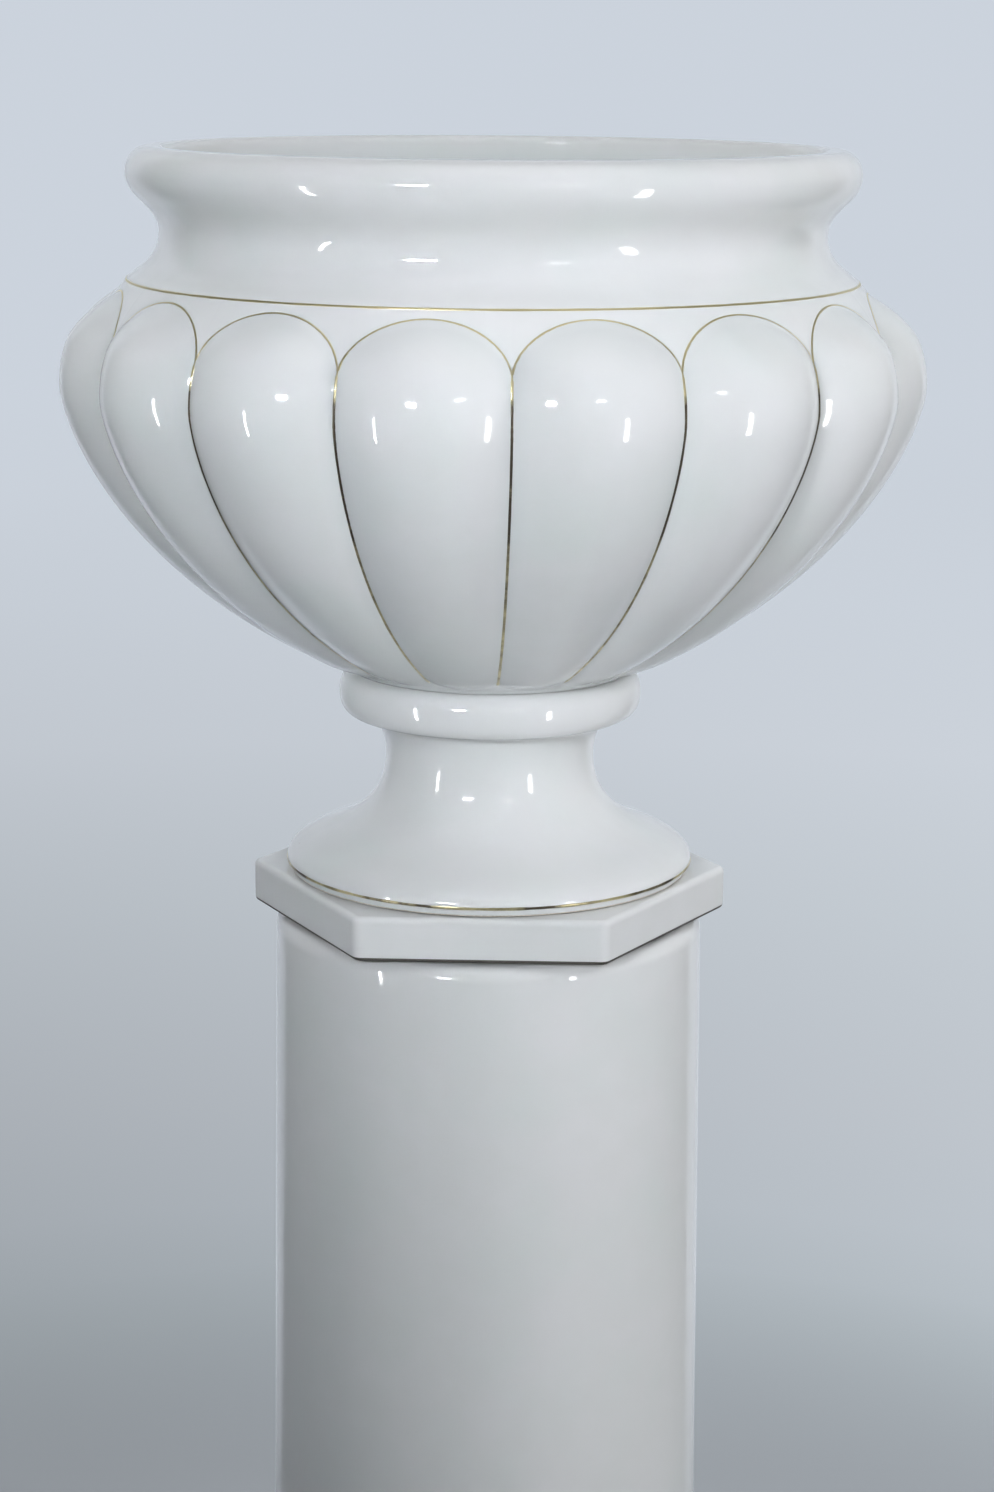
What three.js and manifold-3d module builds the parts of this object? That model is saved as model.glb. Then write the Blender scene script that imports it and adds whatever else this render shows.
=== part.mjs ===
// Jardiniere on a column stand, in white glazed ceramic with gilded lines.
//
// A lobed bowl, a waisted foot and a six-sided plinth are luted together and lift off a
// hollow round column on a six-sided base. Millimetres, +Z up. The origin is on the floor
// at the centre of the stand, and a flat side of both hexagons faces -Y.

import * as THREE from 'three';
import Module from 'manifold-3d';
import { mergeVertices } from 'three/addons/utils/BufferGeometryUtils.js';

const wasm = await Module();
wasm.setup();

// ---- Driving dimensions: stand -------------------------------------------------------

const baseThickness = 30;
const baseFlatMargin = 9; // from the foot of the shaft out to the flat sides of the base
const baseCornerRadius = 8;
const baseEdgeRadius = 4;
const baseLedge = 16; // from the inside of the shaft in to the edge of the base's hole

const shaftHeight = 630;
const shaftTopMargin = 4; // from the flat sides of the plinth out to the top of the shaft
const shaftFlare = 7; // the shaft widens a little towards its foot
const shaftWall = 9;
const shaftShoulderRadius = 4.5; // rounding of the top edge
const deckThickness = 10; // the closed top of the shaft, which carries the plinth
const deckHoleRadius = 40;

// ---- Driving dimensions: plinth ------------------------------------------------------

const plinthAcrossFlats = 212;
const plinthThickness = 22.5;
const plinthCornerRadius = 6;
const plinthEdgeRadius = 3;
const plinthRimWidth = 20; // from the flat sides in to the edge of the round hole
const seatRingHeight = 1; // unglazed ring below the plinth, which leaves the dark gap line
const seatRingInset = 8; // from the flat sides of the plinth to the outside of the ring
const seatRingWidth = 8;

// ---- Driving dimensions: foot --------------------------------------------------------

const footInset = 1.8; // from the flat sides of the plinth in to the gilded edge of the foot
const footSeatInset = 2.2; // the rim of the foot tucks in below its gilded line
const footSeatWidth = 16;
const footRimHeight = 4.6;
const footWall = 8;
const footRimReach = 6.4; // reach of the rounded edge above the rim
const footEdgeWidth = 17.5; // from the gilded edge in to where the hollow curve begins
const footShoulderRise = 13.6; // that place above the rim
const footShoulderAngle = 21.7; // degrees that the surface slopes there
const footShoulderReach = 10; // reach of the rounded edge below that place
const footHollowReach = 20; // reach of the hollow curve above that place
const waistRadius = 53.3; // narrowest place of the stem
const waistHeight = 58.5; // narrowest place, above the bottom of the foot
const waistReach = 22; // reach of the hollow curve below the waist
const coveFlare = 10.7; // from the waist out to the top of the hollow, under the collar
const coveRise = 21.5; // that place above the waist
const collarRadius = 77;
const collarHeight = 23.7;
const collarTopRounding = 6;

// ---- Driving dimensions: bowl --------------------------------------------------------

const lobeCount = 16;
const lobeSwell = 0.065; // how far a lobe stands out, as a share of the wall's radius
const bowlTurn = 4.5; // degrees that the bowl is turned on its foot, counter-clockwise

const bowlSeatInset = 5; // from the collar in to the bottom edge of the bowl
const bowlBottomEdge = 3; // height of the plain edge below the lobes
const bowlWideRadius = 202; // wall between the lobes, at the widest place
const bowlWideRise = 143.3; // widest place, above the lower tips of the lobes
const bowlFlareLength = 113.7; // reach of the lower curve where it leaves the tips
const bowlFlareAngle = 26.4; // degrees that it leaves at, above level
const bowlTurnLength = 15.1; // reach of the lower curve where it turns upright

const shoulderRadius = 180.7; // gilded line round the shoulder
const shoulderRise = 49.5; // that line above the widest place
const shoulderAngle = 48; // degrees that the wall leans in there
const wallUprightReach = 22.4; // reach of the upper curve above the widest place
const wallShoulderReach = 15.2; // reach of the upper curve below the shoulder
const archTopDrop = 4.2; // tops of the arched lobes, below the shoulder line
const archHeight = 24.6;
const tongueHeight = 7.3; // rounded lower end of each lobe

const neckInset = 16.2; // from the shoulder line in to the narrowest place of the neck
const neckRise = 23; // narrowest place of the neck, above the shoulder line
const neckShoulderReach = 6.5;
const neckUprightReach = 14;

const lipReach = 16; // from the neck out to the widest place of the lip
const lipRise = 28.4; // widest place of the lip, above the narrowest of the neck
const lipLowerReach = 13;
const lipTopRise = 12.5;
const lipTopWidth = 4; // level part of the lip's top
const lipRollWidth = 11.5; // from the widest place in to the level part
const lipInnerRounding = 4;

const bowlWall = 9;
const bowlFloor = 10;
const floorInset = 10; // from the bowl's bottom edge in to the edge of its floor
const floorRounding = 5; // height of the slope between the floor and the wall

// ---- Driving dimensions: gilded lines and joints -------------------------------------

const gildWidth = 1.2;
const gildThickness = 0.5;
const lutedJoint = 0.3; // thickness of the slip between two cast sections
const liftClearance = 0.3; // between the deck and the plinth's ring
const gildClearance = 0.3; // between a gilded line and the wall behind it

// ---- Fineness of the faceted surfaces ------------------------------------------------

const stepsPerLobe = 6;
const hexagonSides = 6;
const shaftSides = 48;
const footSides = 48;
const ringSides = 40;
const arcSteps = 4;
const cornerSteps = 2;
const edgeSteps = 2;
const lowerWallSteps = 9;
const upperWallSteps = 7;
const insideStride = 2; // the inside of the bowl keeps every second point of the outside
const neckSteps = 4;
const lipSteps = 4;
const footEdgeSteps = 4;
const footHollowSteps = 6;
const coveSteps = 3;

// ---- Radii that follow from others ---------------------------------------------------

const shaftTopRadius = plinthAcrossFlats / 2 + shaftTopMargin;
const shaftFootRadius = shaftTopRadius + shaftFlare;
const baseHoleRadius = shaftFootRadius - shaftWall - baseLedge;
const plinthHoleRadius = plinthAcrossFlats / 2 - plinthRimWidth;
const footRadius = plinthAcrossFlats / 2 - footInset;
const footShoulderRadius = footRadius - footEdgeWidth;
const coveRadius = waistRadius + coveFlare;
const bowlBottomRadius = collarRadius - bowlSeatInset;
const floorRadius = bowlBottomRadius - floorInset;
const neckRadius = shoulderRadius - neckInset;
const lipRadius = neckRadius + lipReach;

// ---- Heights, from the floor up ------------------------------------------------------

const shaftBottom = baseThickness + lutedJoint;
const shaftTop = shaftBottom + shaftHeight;
const plinthBottom = shaftTop + liftClearance;
const plinthTop = plinthBottom + seatRingHeight + plinthThickness;
const footBottom = plinthTop + lutedJoint;
const footRimTop = footBottom + footRimHeight;
const waist = footBottom + waistHeight;
const collarBottom = waist + coveRise;
const collarTop = collarBottom + collarHeight;
const bowlBottom = collarTop + lutedJoint;
const lobeTips = bowlBottom + bowlBottomEdge;
const bowlWide = lobeTips + bowlWideRise;
const shoulder = bowlWide + shoulderRise;
const archTop = shoulder - archTopDrop;
const archSpring = archTop - archHeight;
const tongueSpring = lobeTips + tongueHeight;
const neck = shoulder + neckRise;
const lipWide = neck + lipRise;
const lipTop = lipWide + lipTopRise;
const floorTop = bowlBottom + bowlFloor;

// ---- Materials -----------------------------------------------------------------------

function glaze() {
  return new THREE.MeshStandardMaterial({ color: 0xeceded, roughness: 0.12, metalness: 0 });
}

function gilding() {
  return new THREE.MeshStandardMaterial({ color: 0xcaa24a, roughness: 0.25, metalness: 1 });
}

// ---- Helpers -------------------------------------------------------------------------

// A point of a turned outline: its distance from the axis and its height.
function at(radius, height) {
  return new THREE.Vector2(radius, height);
}

// The point that lies a given length from another, at an angle above level.
function along(from, degrees, length) {
  const angle = THREE.MathUtils.degToRad(degrees);
  return at(from.x + length * Math.cos(angle), from.y + length * Math.sin(angle));
}

function curve(start, leave, arrive, end, steps) {
  return new THREE.CubicBezierCurve(start, leave, arrive, end).getPoints(steps);
}

// A quarter of an ellipse, from the start to the end of the turn, in degrees.
function quarter(centre, across, up, fromDegrees, toDegrees, steps = arcSteps) {
  const from = THREE.MathUtils.degToRad(fromDegrees);
  const to = THREE.MathUtils.degToRad(toDegrees);
  const arc = new THREE.EllipseCurve(centre.x, centre.y, across, up, from, to, to < from);
  return arc.getPoints(steps);
}

// One outline from several stretches, without the points that two stretches share.
function outline(...stretches) {
  const points = [];
  const nearness = 1e-6;
  for (const point of stretches.flat()) {
    const last = points.at(-1);
    if (!last || last.distanceTo(point) > nearness) {
      points.push(point);
    }
  }
  return points;
}

// The same curve moved sideways, towards the left of its direction.
function offset(points, distance) {
  return points.map((point, index) => {
    const before = points[Math.max(index - 1, 0)];
    const after = points[Math.min(index + 1, points.length - 1)];
    const direction = after.clone().sub(before).normalize();
    return at(point.x - direction.y * distance, point.y + direction.x * distance);
  });
}

function turned(points, sides) {
  return new THREE.LatheGeometry(points, sides).rotateX(Math.PI / 2);
}

// A ring whose outline closes on itself.
function turnedRing(points, sides) {
  return turned([...points, points[0]], sides);
}

function hexagon(acrossFlats, cornerRadius) {
  const shape = new THREE.Shape();
  const halfTurn = Math.PI / hexagonSides;
  const reach = (acrossFlats / 2 - cornerRadius) / Math.cos(halfTurn);
  for (let corner = 0; corner < hexagonSides; corner += 1) {
    const angle = corner * 2 * halfTurn;
    const x = reach * Math.cos(angle);
    const y = reach * Math.sin(angle);
    shape.absarc(x, y, cornerRadius, angle - halfTurn, angle + halfTurn, false);
  }
  shape.closePath();
  return shape;
}

// A hexagonal slab with rounded corners and edges and a round hole through it.
function slab(acrossFlats, thickness, cornerRadius, edgeRadius, holeRadius) {
  const shape = hexagon(acrossFlats, cornerRadius);
  const rim = new THREE.EllipseCurve(0, 0, holeRadius, holeRadius, 0, 2 * Math.PI, true);
  shape.holes.push(new THREE.Path(rim.getPoints(ringSides)));
  return new THREE.ExtrudeGeometry(shape, {
    depth: thickness - 2 * edgeRadius,
    bevelThickness: edgeRadius,
    bevelSize: edgeRadius,
    bevelOffset: -edgeRadius,
    bevelSegments: edgeSteps,
    curveSegments: cornerSteps,
  }).translate(0, 0, edgeRadius);
}

function solidFrom(geometry) {
  const bare = geometry.clone();
  bare.deleteAttribute('normal');
  bare.deleteAttribute('uv');
  const merged = mergeVertices(bare);
  return new wasm.Manifold(new wasm.Mesh({
    numProp: 3,
    vertProperties: new Float32Array(merged.attributes.position.array),
    triVerts: new Uint32Array(merged.index.array),
  }));
}

function geometryFrom(solid) {
  const mesh = solid.getMesh();
  const geometry = new THREE.BufferGeometry();
  geometry.setAttribute('position', new THREE.BufferAttribute(mesh.vertProperties, 3));
  geometry.setIndex(new THREE.BufferAttribute(mesh.triVerts, 1));
  geometry.computeVertexNormals();
  return geometry;
}

function piece(name, geometry, material, height) {
  const mesh = new THREE.Mesh(geometry, material);
  mesh.name = name;
  mesh.position.z = height;
  return mesh;
}

// ---- Stand ---------------------------------------------------------------------------

function columnBase() {
  const acrossFlats = 2 * (shaftFootRadius + baseFlatMargin);
  return piece(
    'column_base',
    slab(acrossFlats, baseThickness, baseCornerRadius, baseEdgeRadius, baseHoleRadius),
    glaze(),
    0,
  );
}

// A hollow shaft, open below and closed above by a deck with a round hole.
function columnShaft() {
  const shoulderCentre = at(shaftTopRadius - shaftShoulderRadius, shaftHeight - shaftShoulderRadius);
  const deckUnderside = shaftHeight - deckThickness;
  const points = outline(
    [at(shaftFootRadius - shaftWall, 0), at(shaftFootRadius, 0)],
    quarter(shoulderCentre, shaftShoulderRadius, shaftShoulderRadius, 0, 90),
    [at(deckHoleRadius, shaftHeight), at(deckHoleRadius, deckUnderside)],
    [at(shaftTopRadius - shaftWall, deckUnderside)],
  );
  return piece('column_shaft', turnedRing(points, shaftSides), glaze(), shaftBottom);
}

// ---- Plinth --------------------------------------------------------------------------

function hexPlinth() {
  const plate = slab(
    plinthAcrossFlats,
    plinthThickness,
    plinthCornerRadius,
    plinthEdgeRadius,
    plinthHoleRadius,
  ).translate(0, 0, seatRingHeight);
  const ringOutside = plinthAcrossFlats / 2 - seatRingInset;
  const ringInside = ringOutside - seatRingWidth;
  const ringTop = seatRingHeight + plinthThickness / 2;
  const ring = turnedRing([
    at(ringInside, 0),
    at(ringOutside, 0),
    at(ringOutside, ringTop),
    at(ringInside, ringTop),
  ], ringSides);
  const plinth = solidFrom(plate).add(solidFrom(ring));
  return piece('hex_plinth', geometryFrom(plinth), glaze(), plinthBottom);
}

// ---- Foot ----------------------------------------------------------------------------

// The outside of the foot from its rim to the waist, from the bottom of the foot.
function footFlank() {
  const rim = at(footRadius, footRimHeight);
  const edge = at(footShoulderRadius, footRimHeight + footShoulderRise);
  const narrow = at(waistRadius, waistHeight);
  const rounded = curve(
    rim,
    at(rim.x, rim.y + footRimReach),
    along(edge, -footShoulderAngle, footShoulderReach),
    edge,
    footEdgeSteps,
  );
  const hollow = curve(
    edge,
    along(edge, 180 - footShoulderAngle, footHollowReach),
    at(narrow.x, narrow.y - waistReach),
    narrow,
    footHollowSteps,
  );
  return outline(rounded, hollow);
}

function footStem() {
  const height = collarTop - footBottom;
  const flank = footFlank();
  const cove = quarter(
    at(coveRadius, waistHeight),
    coveRadius - waistRadius,
    coveRise,
    180,
    90,
    coveSteps,
  );
  const collarLow = waistHeight + coveRise;
  const collarBelly = collarHeight - collarTopRounding;
  const bead = quarter(
    at(coveRadius, collarLow + collarBelly / 2),
    collarRadius - coveRadius,
    collarBelly / 2,
    -90,
    0,
  );
  const top = quarter(
    at(collarRadius - collarTopRounding, height - collarTopRounding),
    collarTopRounding,
    collarTopRounding,
    0,
    90,
  );
  const bore = waistRadius - footWall;
  const inside = offset(flank.slice(footEdgeSteps), footWall);
  const seat = footRadius - footSeatInset;
  const points = outline(
    [at(seat - footSeatWidth, 0), at(seat, 0)],
    flank,
    cove,
    bead,
    top,
    [at(bore, height)],
    inside.reverse(),
  );
  return piece('foot_stem', turnedRing(points, footSides), glaze(), footBottom);
}

// ---- Bowl ----------------------------------------------------------------------------

// The wall between the lobes, from their lower tips to the shoulder, from the bowl's bottom.
function bowlFlank() {
  const tips = at(collarRadius, lobeTips - bowlBottom); // level with the collar's side
  const wide = at(bowlWideRadius, bowlWide - bowlBottom);
  const line = at(shoulderRadius, shoulder - bowlBottom);
  const lower = curve(
    tips,
    along(tips, bowlFlareAngle, bowlFlareLength),
    at(wide.x, wide.y - bowlTurnLength),
    wide,
    lowerWallSteps,
  );
  const upper = curve(
    wide,
    at(wide.x, wide.y + wallUprightReach),
    along(line, -shoulderAngle, wallShoulderReach),
    line,
    upperWallSteps,
  );
  return outline(lower, upper);
}

// The neck and the rolled lip, from the shoulder to the inner side of the lip.
function neckAndLip() {
  const line = at(shoulderRadius, shoulder - bowlBottom);
  const narrow = at(neckRadius, neck - bowlBottom);
  const wide = at(lipRadius, lipWide - bowlBottom);
  const top = lipTop - bowlBottom;
  const hollow = curve(
    line,
    along(line, 180 - shoulderAngle, neckShoulderReach),
    at(narrow.x, narrow.y - neckUprightReach),
    narrow,
    neckSteps,
  );
  const swell = curve(
    narrow,
    at(narrow.x, narrow.y + lipLowerReach),
    at(wide.x, wide.y - lipLowerReach),
    wide,
    lipSteps,
  );
  const roll = quarter(at(lipRadius - lipRollWidth, wide.y), lipRollWidth, lipTopRise, 0, 90);
  const innerEdge = lipRadius - lipRollWidth - lipTopWidth;
  const inner = quarter(
    at(innerEdge, top - lipInnerRounding),
    lipInnerRounding,
    lipInnerRounding,
    90,
    180,
    arcSteps / 2,
  );
  return outline(hollow, swell, roll, inner);
}

// How full a lobe is at a place: 1 along its spine and 0 on its edge, which is the valley
// on either side, the arch above and the rounded tongue below. Across is -1 to 1.
function lobeFullness(across, height) {
  const intoArch = Math.max(0, (height - archSpring) / archHeight);
  const intoTongue = Math.max(0, (tongueSpring - height) / tongueHeight);
  const reach = Math.hypot(across, intoArch, intoTongue);
  return Math.max(0, 1 - reach * reach);
}

// Swells the turned bowl into its lobes, inside and outside alike.
function swellLobes(geometry) {
  const position = geometry.attributes.position;
  const lobeAngle = 2 * Math.PI / lobeCount;
  for (let index = 0; index < position.count; index += 1) {
    const x = position.getX(index);
    const y = position.getY(index);
    const lobes = Math.atan2(y, x) / lobeAngle;
    const across = 2 * (lobes - Math.round(lobes));
    const height = position.getZ(index) + bowlBottom;
    const swell = 1 + lobeSwell * lobeFullness(across, height);
    position.setX(index, x * swell);
    position.setY(index, y * swell);
  }
  return geometry;
}

// Half a lobe's turn puts a valley, and not a crest, on the side that faces -Y.
function turnOfLobes() {
  return THREE.MathUtils.degToRad(bowlTurn) + Math.PI / lobeCount;
}

function bowl() {
  const flank = bowlFlank();
  const crown = neckAndLip();
  const wall = outline(flank, crown.slice(0, neckSteps + 1)).reverse();
  const wallInside = offset(wall, -bowlWall).filter((point, index) => index % insideStride === 0);
  const floor = floorTop - bowlBottom;
  const points = outline(
    [at(0, 0), at(bowlBottomRadius, 0)],
    flank,
    crown,
    wallInside.filter((point) => point.y > floor + floorRounding),
    [at(floorRadius, floor), at(0, floor)],
  );
  const geometry = swellLobes(turned(points, lobeCount * stepsPerLobe));
  const mesh = piece('bowl', geometry, glaze(), bowlBottom);
  mesh.rotation.z = turnOfLobes();
  return mesh;
}

// ---- Gilded lines --------------------------------------------------------------------

// A thin flat band round the axis, which faces outward at an angle above level.
function gildedLine(name, radius, height, outward, sides) {
  const behind = along(at(radius, 0), outward, gildClearance);
  const low = along(behind, outward - 90, gildWidth / 2);
  const high = along(behind, outward + 90, gildWidth / 2);
  const points = [
    low,
    along(low, outward, gildThickness),
    along(high, outward, gildThickness),
    high,
  ];
  return piece(name, turnedRing(points, sides), gilding(), height);
}

function shoulderGoldLine() {
  const line = gildedLine(
    'shoulder_gold_line',
    shoulderRadius,
    shoulder,
    90 - shoulderAngle,
    lobeCount * stepsPerLobe,
  );
  line.rotation.z = turnOfLobes();
  return line;
}

function footGoldLine() {
  return gildedLine('foot_gold_line', footRadius, footRimTop, 0, footSides);
}

// ---- Assembly ------------------------------------------------------------------------

const stand = new THREE.Group();
stand.add(columnBase(), columnShaft());

const jardiniere = new THREE.Group();
jardiniere.add(hexPlinth(), footStem(), bowl(), shoulderGoldLine(), footGoldLine());

const jardiniereOnStand = new THREE.Group();
jardiniereOnStand.add(stand, jardiniere);

export default jardiniereOnStand;
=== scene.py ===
# Looks of the jardiniere on its stand: white glazed ceramic with gilded lines.
#
# The outlines repeat the model's own sizes, in millimetres, and become metres where a mesh
# is made. Each glazed casting is a fine surface in the place of its plain solid.

import math

import bpy
import numpy as np
from mathutils import Matrix, Vector

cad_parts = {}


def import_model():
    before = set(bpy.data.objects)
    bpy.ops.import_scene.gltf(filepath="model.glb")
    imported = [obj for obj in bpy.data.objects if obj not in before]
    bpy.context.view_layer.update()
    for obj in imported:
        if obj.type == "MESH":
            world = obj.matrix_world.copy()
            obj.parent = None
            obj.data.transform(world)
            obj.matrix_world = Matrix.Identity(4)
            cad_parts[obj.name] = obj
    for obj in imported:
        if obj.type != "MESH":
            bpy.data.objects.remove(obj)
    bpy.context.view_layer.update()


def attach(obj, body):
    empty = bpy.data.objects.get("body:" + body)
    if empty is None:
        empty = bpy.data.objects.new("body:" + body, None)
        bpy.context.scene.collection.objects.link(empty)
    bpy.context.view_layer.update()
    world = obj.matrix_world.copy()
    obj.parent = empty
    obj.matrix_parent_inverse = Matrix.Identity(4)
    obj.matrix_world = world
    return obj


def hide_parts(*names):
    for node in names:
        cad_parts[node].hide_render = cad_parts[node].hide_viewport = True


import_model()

MM = 0.001

# ---- Sizes, as in the model ----------------------------------------------------------
#
# Heights are from the floor, but places on the foot are from FOOT_BOTTOM. A name with _R is
# a radius, and one with REACH is the length of a curve's handle. CORNER and EDGE say how far
# a slab's corners and the edges are rounded.

BASE_FLATS, BASE_TOP, BASE_CORNER, BASE_EDGE, BASE_HOLE_R = 252.0, 30.0, 8.0, 4.0, 92.0

SHAFT_BOTTOM, SHAFT_TOP, SHAFT_FOOT_R, SHAFT_TOP_R, SHAFT_WALL = 30.3, 660.3, 117.0, 110.0, 9.0
SHAFT_EDGE = 8.0  # rounder than the model's, as in the photo
DECK, DECK_HOLE_R = 10.0, 40.0

PLINTH_FLATS, PLINTH_BOTTOM, PLINTH_TOP = 212.0, 660.6, 684.1
PLINTH_CORNER, PLINTH_EDGE, PLINTH_HOLE_R = 6.0, 3.0, 86.0
SEAT_RING_HEIGHT, SEAT_RING_OUT_R, SEAT_RING_IN_R = 1.0, 98.0, 90.0

FOOT_BOTTOM, FOOT_WALL, FOOT_SEAT_IN_R, FOOT_SEAT_OUT_R = 684.4, 8.0, 86.0, 102.0
FOOT_R, FOOT_RIM, FOOT_RIM_REACH = 104.2, 4.6, 6.4
FOOT_SHOULDER_R, FOOT_SHOULDER, FOOT_SLOPE = 86.7, 18.2, 21.7
FOOT_SHOULDER_REACH, FOOT_HOLLOW_REACH = 10.0, 20.0
WAIST_R, WAIST, WAIST_REACH = 53.3, 58.5, 22.0
COVE_FLARE, COVE_RISE = 10.7, 21.5
COLLAR_R, COLLAR_BOTTOM, COLLAR_TOP = 77.0, 80.0, 103.7

BOWL_BOTTOM, BOWL_BOTTOM_R, BOWL_WALL, LOBE_TIPS = 788.4, 72.0, 9.0, 791.4
FLOOR_TOP, FLOOR_ROUNDING = 798.4, 5.0
WIDE, WIDE_R, FLARE_ANGLE, FLARE_REACH, WIDE_REACH = 934.7, 202.0, 26.4, 113.7, 15.1
SHOULDER, SHOULDER_R, SHOULDER_LEAN = 984.2, 180.7, 48.0
UPRIGHT_REACH, SHOULDER_REACH = 22.4, 15.2
NECK, NECK_R, NECK_SHOULDER_REACH, NECK_REACH = 1007.2, 164.5, 6.5, 14.0
LIP_WIDE, LIP_R, LIP_TOP, LIP_REACH = 1035.6, 180.5, 1048.1, 13.0
LIP_ROLL, LIP_LEVEL, LIP_INNER = 11.5, 4.0, 4.0  # widths of its roll, level top and inner edge

LOBES, SWELL, TURN = 16, 0.065, math.radians(4.5)
HALF_LOBE = math.pi / LOBES
ARCH_TOP, ARCH_HEIGHT, TONGUE_HEIGHT = 980.0, 24.6, 7.3
ARCH_SPRING = ARCH_TOP - ARCH_HEIGHT
TONGUE_SPRING = LOBE_TIPS + TONGUE_HEIGHT

# ---- Outlines ------------------------------------------------------------------------


def along(start, degrees, length):
    angle = math.radians(degrees)
    return (start[0] + length * math.cos(angle), start[1] + length * math.sin(angle))


def bezier(p0, p1, p2, p3, steps):
    t = np.linspace(0, 1, steps + 1)[:, None]
    p0, p1, p2, p3 = (np.array(p, float) for p in (p0, p1, p2, p3))
    return (1 - t) ** 3 * p0 + 3 * (1 - t) ** 2 * t * p1 + 3 * (1 - t) * t**2 * p2 + t**3 * p3


def arc(centre, across, up, start, end, steps):
    a = np.radians(np.linspace(start, end, steps + 1))
    return np.stack([centre[0] + across * np.cos(a), centre[1] + up * np.sin(a)], 1)


def straight(a, b, steps=1):
    t = np.linspace(0, 1, steps + 1)[:, None]
    return np.array(a, float) * (1 - t) + np.array(b, float) * t


def chain(*stretches):
    """One outline from several stretches, without the points that two of them share."""
    points = [np.array(stretches[0][0], float)]
    for stretch in stretches:
        for p in np.asarray(stretch, float):
            if np.hypot(*(p - points[-1])) > 1e-4:
                points.append(p)
    return np.array(points)


def offset(points, distance):
    """The same outline moved to the left of its direction."""
    before = np.vstack([points[:1], points[:-1]])
    after = np.vstack([points[1:], points[-1:]])
    d = after - before
    d /= np.linalg.norm(d, axis=1)[:, None]
    return points + distance * np.stack([-d[:, 1], d[:, 0]], 1)


def lengths_along(points):
    """How far along a line each of its points lies."""
    return np.concatenate([[0], np.cumsum(np.linalg.norm(np.diff(points, axis=0), axis=1))])


# ---- Meshes --------------------------------------------------------------------------

TURNED_SIDES = 192


def make(name, points, faces):
    """A smooth object from points in millimetres."""
    mesh = bpy.data.meshes.new(name)
    mesh.from_pydata((np.asarray(points) * MM).tolist(), [], faces)
    mesh.validate()
    mesh.polygons.foreach_set("use_smooth", [True] * len(mesh.polygons))
    mesh.update()
    obj = bpy.data.objects.new(name, mesh)
    bpy.context.scene.collection.objects.link(obj)
    return obj


def loft(name, rings, closed=True):
    """A surface through rings of points. Each ring closes on itself, and with closed the
    last ring joins the first."""
    rings = np.asarray(rings, float)
    rows, sides = rings.shape[:2]
    index = np.arange(rows * sides).reshape(rows, sides)
    low = index if closed else index[:-1]
    high = np.roll(index, -1, 0) if closed else index[1:]
    a, b = low, np.roll(low, -1, 1)
    c, d = np.roll(high, -1, 1), high
    faces = np.stack([a, b, c, d], -1).reshape(-1, 4)
    return make(name, rings.reshape(-1, 3), faces.tolist())


def turned(name, points):
    """A ring turned from an outline that closes on itself, given counter-clockwise."""
    a = np.linspace(0, 2 * math.pi, TURNED_SIDES, endpoint=False)
    rings = np.empty((len(points), TURNED_SIDES, 3))
    rings[:, :, 0] = points[:, :1] * np.cos(a)
    rings[:, :, 1] = points[:, :1] * np.sin(a)
    rings[:, :, 2] = points[:, 1:]
    return loft(name, rings)


def attribute(obj, name, values):
    layer = obj.data.attributes.new(name, "FLOAT", "POINT")
    layer.data.foreach_set("value", np.asarray(values, np.float32).ravel())


# ---- Bowl ----------------------------------------------------------------------------

PER_LOBE = 20  # points across each lobe
POLE_R = 0.5  # the surface stops this close to the axis
SEAM_POOL_AND_SHADE, EDGE_POOL_AND_SHADE, MOUTH_POOL_AND_SHADE = 0.6, 0.5, 1.0  # darkening by gathered glaze and painted shade, from 0 to 1
INSIDE_SWELL = 0.92 * SWELL

tips, wide, line = (COLLAR_R, LOBE_TIPS), (WIDE_R, WIDE), (SHOULDER_R, SHOULDER)
neck, lip = (NECK_R, NECK), (LIP_R, LIP_WIDE)
LOWER = bezier(tips, along(tips, FLARE_ANGLE, FLARE_REACH), (WIDE_R, WIDE - WIDE_REACH), wide, 400)
UPPER = bezier(wide, (WIDE_R, WIDE + UPRIGHT_REACH), along(line, -SHOULDER_LEAN, SHOULDER_REACH),
               line, 200)
FLANK = chain(LOWER, UPPER)
HOLLOW = bezier(line, along(line, 180 - SHOULDER_LEAN, NECK_SHOULDER_REACH),
                (NECK_R, NECK - NECK_REACH), neck, 14)
LIP_SWELL = bezier(neck, (NECK_R, NECK + LIP_REACH), (LIP_R, LIP_WIDE - LIP_REACH), lip, 14)
ROLL = arc((LIP_R - LIP_ROLL, LIP_WIDE), LIP_ROLL, LIP_TOP - LIP_WIDE, 0, 90, 12)
INNER = arc((LIP_R - LIP_ROLL - LIP_LEVEL, LIP_TOP - LIP_INNER), LIP_INNER, LIP_INNER, 90, 180, 6)
CROWN = chain(HOLLOW, LIP_SWELL, ROLL, INNER)
MOUTH = ((161.0, 1036.0), (160.8, 1028.0), (159.4, 1017.5))

flank_run = lengths_along(FLANK)


def run_at(height):
    return np.interp(height, FLANK[:, 1], flank_run)


def fullness(across, height):
    """How much of a lobe's swell there is: 0 at its outline and 1 along its middle."""
    into_arch = np.maximum(0, (height - ARCH_SPRING) / ARCH_HEIGHT)
    into_tongue = np.maximum(0, (TONGUE_SPRING - height) / TONGUE_HEIGHT)
    return np.maximum(0, 1 - across**2 - into_arch**2 - into_tongue**2)


def across_of(azimuth):
    """How far across its lobe an azimuth lies, from -1 to 1."""
    lobe = (azimuth - TURN) / (2 * HALF_LOBE) - 0.5
    return 2 * (lobe - np.round(lobe))


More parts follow.
